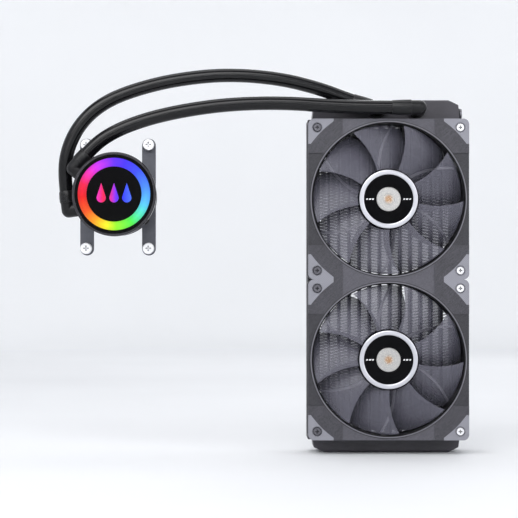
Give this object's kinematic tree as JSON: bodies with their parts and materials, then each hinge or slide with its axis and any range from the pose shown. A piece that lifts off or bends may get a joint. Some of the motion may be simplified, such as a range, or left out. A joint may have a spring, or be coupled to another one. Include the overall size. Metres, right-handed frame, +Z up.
{
  "type": "liquid cooling radiator",
  "caption": "Sealed computer liquid cooler: a slim upright radiator with framed fans, rubber hoses and a round pump head with a lit ring.",
  "frame": {"origin": "centre of the case-bolt holes on the radiator's back face", "axes": "+Z up along the radiator's length towards the tank with the hose ports, +X right across the radiator as seen from the fans, +Y out of the radiator's back face into the wall it is bolted to"},
  "size_m": [0.3578, 0.0948, 0.3379],
  "materials": {
    "board": "glass-fibre board",
    "bracket_metal": "grey steel plate",
    "bright_screw": "nickel",
    "bronze": "oil-filled bronze",
    "channel_paint": "satin black paint",
    "copper": "bare copper",
    "copper_wire": "enamelled copper",
    "dark_screw": "black oxide",
    "elbow_plastic": "black moulding",
    "face_gloss": "gloss black",
    "fan_blade_plastic": "dark grey moulding",
    "fan_frame_plastic": "dark grey moulding with a fine diagonal grain",
    "ferrite": "bonded ferrite",
    "fin_paint": "black-coated aluminium strip",
    "hose_rubber": "smooth black rubber",
    "hub_badge_metal": "spun disc with a copper centre",
    "hub_ring_metal": "bright satin ring",
    "inner_plastic": "grey moulding",
    "light_ring": "lit diffuser",
    "light_symbol": "lit inlay",
    "pad_rubber": "grey knurled rubber",
    "plug_metal": "black plug",
    "pump_plastic": "black moulding",
    "seal_rubber": "black rubber",
    "steel": "plain",
    "tank_paint": "satin black paint",
    "trim_chrome": "dark chrome",
    "tube_paint": "black-coated flat tube"
  },
  "bodies": {
    "cooler": {"base_gasket": "seal_rubber", "bracket_screws": "bright_screw", "bracket_springs": "steel", "chamber_plate": "inner_plastic", "cold_plate": "copper", "cold_plate_screws": "steel", "coolant_tubes": "tube_paint", "cooling_fins": "fin_paint", "fan_bearings": "bronze", "fan_circuit_boards": "board", "fan_coils": "copper_wire", "fan_lower_frame": "fan_frame_plastic", "fan_lower_motor_mount": "fan_frame_plastic", "fan_lower_pads": "pad_rubber", "fan_screws_left": "dark_screw", "fan_screws_right": "bright_screw", "fan_stator_cores": "steel", "fan_upper_frame": "fan_frame_plastic", "fan_upper_motor_mount": "fan_frame_plastic", "fan_upper_pads": "pad_rubber", "fill_plug": "plug_metal", "header_plates": "tank_paint", "hose_a": "hose_rubber", "hose_b": "hose_rubber", "jet_plate": "inner_plastic", "mounting_bracket": "bracket_metal", "port_seals": "seal_rubber", "port_tank": "tank_paint", "pump_cable_grommet": "seal_rubber", "pump_circuit_board": "board", "pump_elbow_a": "elbow_plastic", "pump_elbow_b": "elbow_plastic", "pump_face": "face_gloss", "pump_housing": "pump_plastic", "pump_light_board": "board", "pump_light_ring": "light_ring", "pump_pin": "steel", "pump_shell": "pump_plastic", "pump_stator": "copper_wire", "pump_symbol": "light_symbol", "pump_trim_ring": "trim_chrome", "radiator_elbow_a": "elbow_plastic", "radiator_elbow_b": "elbow_plastic", "return_tank": "tank_paint", "side_channel_left": "channel_paint", "side_channel_right": "channel_paint"},
    "fan_upper_spinning": {"fan_upper_rotor": "fan_blade_plastic", "fan_upper_hub_ring": "hub_ring_metal", "fan_upper_hub_badge": "hub_badge_metal", "fan_upper_yoke": "steel", "fan_upper_magnet": "ferrite", "fan_upper_shaft": "steel"},
    "fan_lower_spinning": {"fan_lower_rotor": "fan_blade_plastic", "fan_lower_hub_ring": "hub_ring_metal", "fan_lower_hub_badge": "hub_badge_metal", "fan_lower_yoke": "steel", "fan_lower_magnet": "ferrite", "fan_lower_shaft": "steel"},
    "pump_spinning": {"pump_impeller": "inner_plastic", "pump_magnet": "ferrite"}
  },
  "joints": [
    {"name": "fan_upper_spin", "type": "hinge", "parent": "cooler", "child": "fan_upper_spinning", "pos_m": [0, -0.04, 0.07], "axis": [0, 1, 0], "continuous": true},
    {"name": "fan_lower_spin", "type": "hinge", "parent": "cooler", "child": "fan_lower_spinning", "pos_m": [0, -0.04, -0.07], "axis": [0, 1, 0], "continuous": true},
    {"name": "pump_impeller_spin", "type": "hinge", "parent": "cooler", "child": "pump_spinning", "pos_m": [-0.236, -0.067, 0.072], "axis": [0, 1, 0], "continuous": true}
  ]
}
